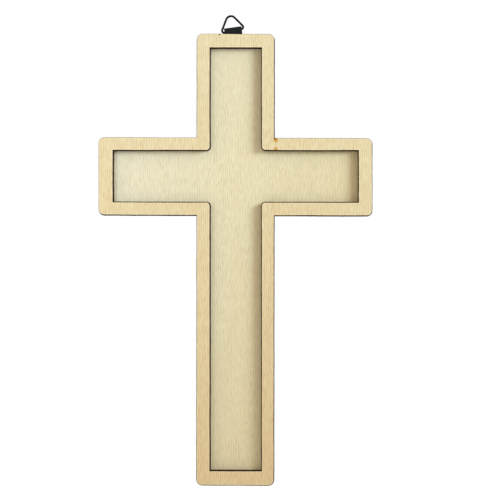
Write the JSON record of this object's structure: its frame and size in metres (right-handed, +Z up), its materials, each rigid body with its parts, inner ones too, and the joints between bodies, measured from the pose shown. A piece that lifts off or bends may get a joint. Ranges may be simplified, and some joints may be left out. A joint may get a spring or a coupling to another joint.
{
  "type": "wall cross",
  "caption": "Blank wooden wall cross: a plywood board with a raised rim round a shallow recess, hung by a triangular wire ring in a folded metal strap.",
  "frame": {"origin": "the highest point of the inside of the ring, in the wire's middle plane, where the ring rests on its nail", "axes": "+Z up the cross's shaft; the front faces -Y and the wall is at +Y; +X to the right as the front is seen"},
  "size_m": [0.1518, 0.0118, 0.2611],
  "materials": {
    "rim_plywood": "bare pale plywood, sanded, laser-cut edges charred brown",
    "board_plywood": "bare pale plywood, sanded, laser-cut edges charred brown",
    "strap_metal": "blue-black enamel, satin",
    "ring_wire": "black enamel, satin",
    "screw_steel": "dark oxide, satin"
  },
  "bodies": {
    "ring": {"hanger_ring": "ring_wire"},
    "cross": {"raised_rim": "rim_plywood", "back_board": "board_plywood", "hanger_strap": "strap_metal", "hanger_screw": "screw_steel"}
  },
  "joints": [
    {"name": "ring_hinge", "type": "hinge", "parent": "ring", "child": "cross", "pos_m": [0.00118, 0, -0.00772], "axis": [0.9774, 0, 0.2113], "range_deg": [-97, 165]}
  ]
}
